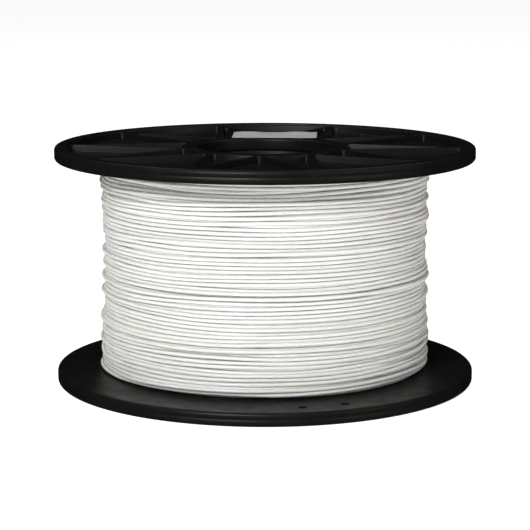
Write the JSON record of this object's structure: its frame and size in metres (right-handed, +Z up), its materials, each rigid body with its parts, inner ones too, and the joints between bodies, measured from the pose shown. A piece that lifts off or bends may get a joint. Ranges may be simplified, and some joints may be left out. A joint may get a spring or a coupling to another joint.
{
  "type": "filament spool",
  "caption": "Flanged spool of white 3-D printer filament: ribbed black plastic flanges on a hollow barrel, open hub bore, blank label.",
  "frame": {"origin": "centre of the spool's axis on the plane that the lower flange's rim stands on", "axes": "+Z up along the spool's axis, -Y towards the viewer who faces the front"},
  "size_m": [0.2, 0.2, 0.113],
  "materials": {
    "flange": "satin moulded black",
    "barrel": "matt moulded black",
    "filament": "semi-gloss extruded white",
    "label": "semi-gloss paper"
  },
  "bodies": {
    "root": {"upper_flange": "flange", "lower_flange": "flange", "barrel": "barrel", "filament_winding": "filament", "filament_outer_end": "filament", "filament_inner_end": "filament", "label": "label"}
  },
  "joints": []
}
